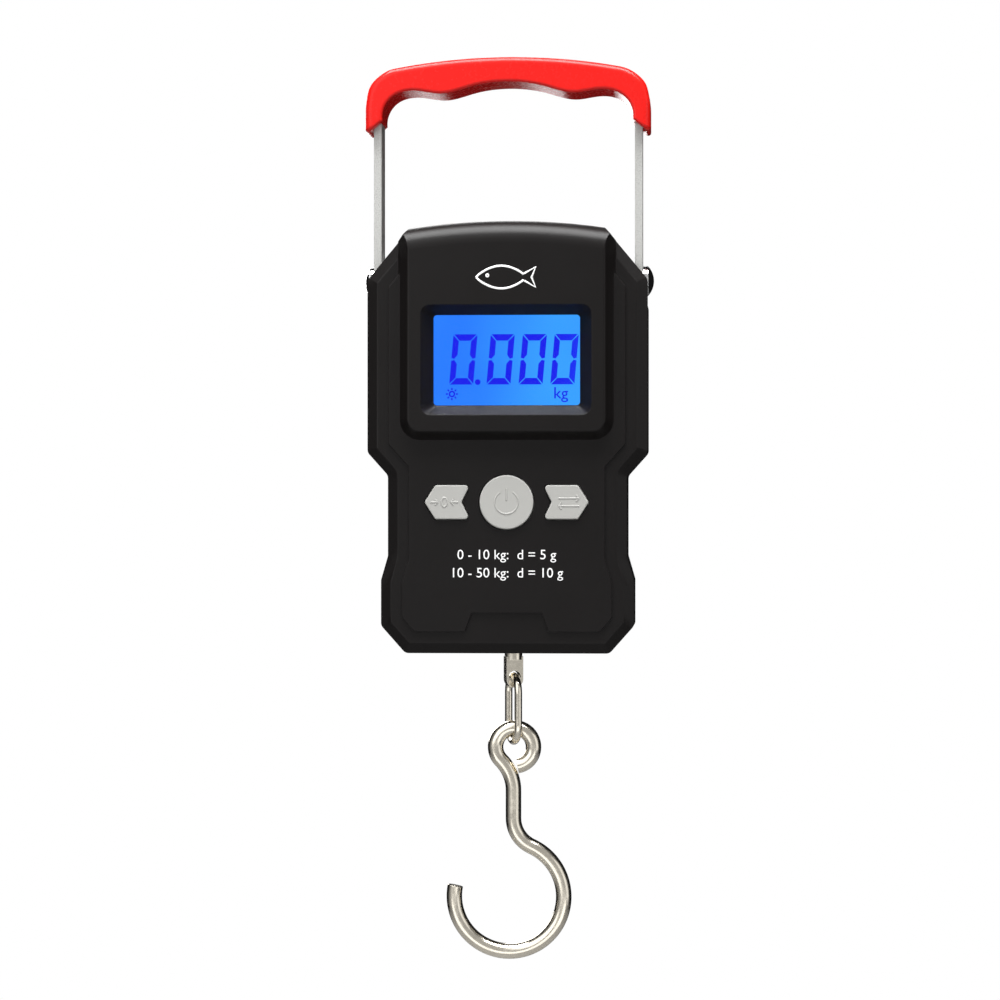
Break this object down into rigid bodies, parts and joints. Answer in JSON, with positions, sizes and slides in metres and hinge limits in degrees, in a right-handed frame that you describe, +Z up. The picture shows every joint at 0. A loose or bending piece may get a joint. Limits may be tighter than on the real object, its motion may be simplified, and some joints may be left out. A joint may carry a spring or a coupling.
{
  "type": "digital fish scale",
  "caption": "Hand-held hanging scale with a folding bail grip, backlit display, three push buttons, and a swivelling hook on a chain link.",
  "frame": {"origin": "underside of the grip at its middle, where a hand or a peg holds the scale", "axes": "+Z up along the line of pull, -Y out of the display, +X to the right seen from the front"},
  "size_m": [0.0838, 0.0285, 0.2598],
  "materials": {
    "case_black": "satin black moulding",
    "window_clear": "clear acrylic",
    "gasket_foam": "black foam",
    "lcd_blue": "blue liquid crystal, lit from behind",
    "holder_white": "white moulding",
    "guide_clear": "frosted acrylic",
    "connector_grey": "striped elastomer",
    "board_green": "solder mask",
    "chip_black": "moulded package",
    "ceramic_tan": "ceramic",
    "key_grey": "light grey satin",
    "plunger_black": "black nylon",
    "grip_red": "glossy red",
    "strap_zinc": "galvanised",
    "rivet_chrome": "bright plated",
    "cell_aluminium": "milled",
    "screw_steel": "zinc plated",
    "gauge_amber": "film with etched foil",
    "lead_red": "insulated wire",
    "battery_wrap": "printed sleeve",
    "contact_nickel": "nickel plated spring steel",
    "bush_nylon": "nylon",
    "hook_nickel": "nickel plated steel"
  },
  "bodies": {
    "handle": {"grip": "grip_red", "handle_bail": "strap_zinc"},
    "housing": {"front_shell": "case_black", "rear_shell": "case_black", "display_window": "window_clear", "window_gasket": "gasket_foam", "lcd_cell": "lcd_blue", "lcd_holder": "holder_white", "backlight_guide": "guide_clear", "backlight_led": "holder_white", "lcd_connector": "connector_grey", "circuit_board": "board_green", "board_screws": "screw_steel", "controller_chip": "chip_black", "clock_crystal": "screw_steel", "chip_capacitors": "ceramic_tan", "tact_switches": "chip_black", "pivot_pin_left": "rivet_chrome", "pivot_pin_right": "rivet_chrome", "pivot_washer_left": "rivet_chrome", "pivot_washer_right": "rivet_chrome", "load_frame": "strap_zinc", "load_cell": "cell_aluminium", "load_cell_screws": "screw_steel", "strain_gauges": "gauge_amber", "gauge_leads": "lead_red", "battery_upper": "battery_wrap", "battery_lower": "battery_wrap", "battery_link_contact": "contact_nickel", "battery_positive_contact": "contact_nickel", "battery_negative_contact": "contact_nickel", "case_screws": "screw_steel", "bottom_bush": "bush_nylon"},
    "power_key": {"power_button": "key_grey", "power_plunger": "plunger_black"},
    "tare_key": {"tare_button": "key_grey", "tare_plunger": "plunger_black"},
    "unit_key": {"unit_button": "key_grey", "unit_plunger": "plunger_black"},
    "door": {"battery_door": "case_black"},
    "shank": {"hook_shank": "hook_nickel", "shank_nut": "screw_steel", "thrust_washer": "screw_steel"},
    "link": {"swivel_link": "hook_nickel"},
    "hook": {"hook": "hook_nickel"}
  },
  "joints": [
    {"name": "handle_fold", "type": "hinge", "parent": "handle", "child": "housing", "pos_m": [0, 0, -0.0568], "axis": [1, 0, 0], "range_deg": [0, 90]},
    {"name": "power_press", "type": "slide", "parent": "housing", "child": "power_key", "axis": [0, 1, 0], "range_m": [0, 0.0005], "stiffness_N_per_m": 1500},
    {"name": "tare_press", "type": "slide", "parent": "housing", "child": "tare_key", "axis": [0, 1, 0], "range_m": [0, 0.0005], "stiffness_N_per_m": 1500},
    {"name": "unit_press", "type": "slide", "parent": "housing", "child": "unit_key", "axis": [0, 1, 0], "range_m": [0, 0.0005], "stiffness_N_per_m": 1500},
    {"name": "door_lift", "type": "slide", "parent": "housing", "child": "door", "axis": [0, 1, 0], "range_m": [0, 0.015]},
    {"name": "shank_swivel", "type": "hinge", "parent": "housing", "child": "shank", "pos_m": [0.0013, 0, -0.1515], "axis": [0, 0, 1], "continuous": true},
    {"name": "link_swing", "type": "hinge", "parent": "shank", "child": "link", "pos_m": [0.0013, 0, -0.1708], "axis": [0.342, -0.9397, 0], "range_deg": [-60, 60]},
    {"name": "hook_swing", "type": "hinge", "parent": "link", "child": "hook", "pos_m": [0.0013, 0, -0.1896], "axis": [0.342, -0.9397, 0], "range_deg": [-38, 38]}
  ]
}
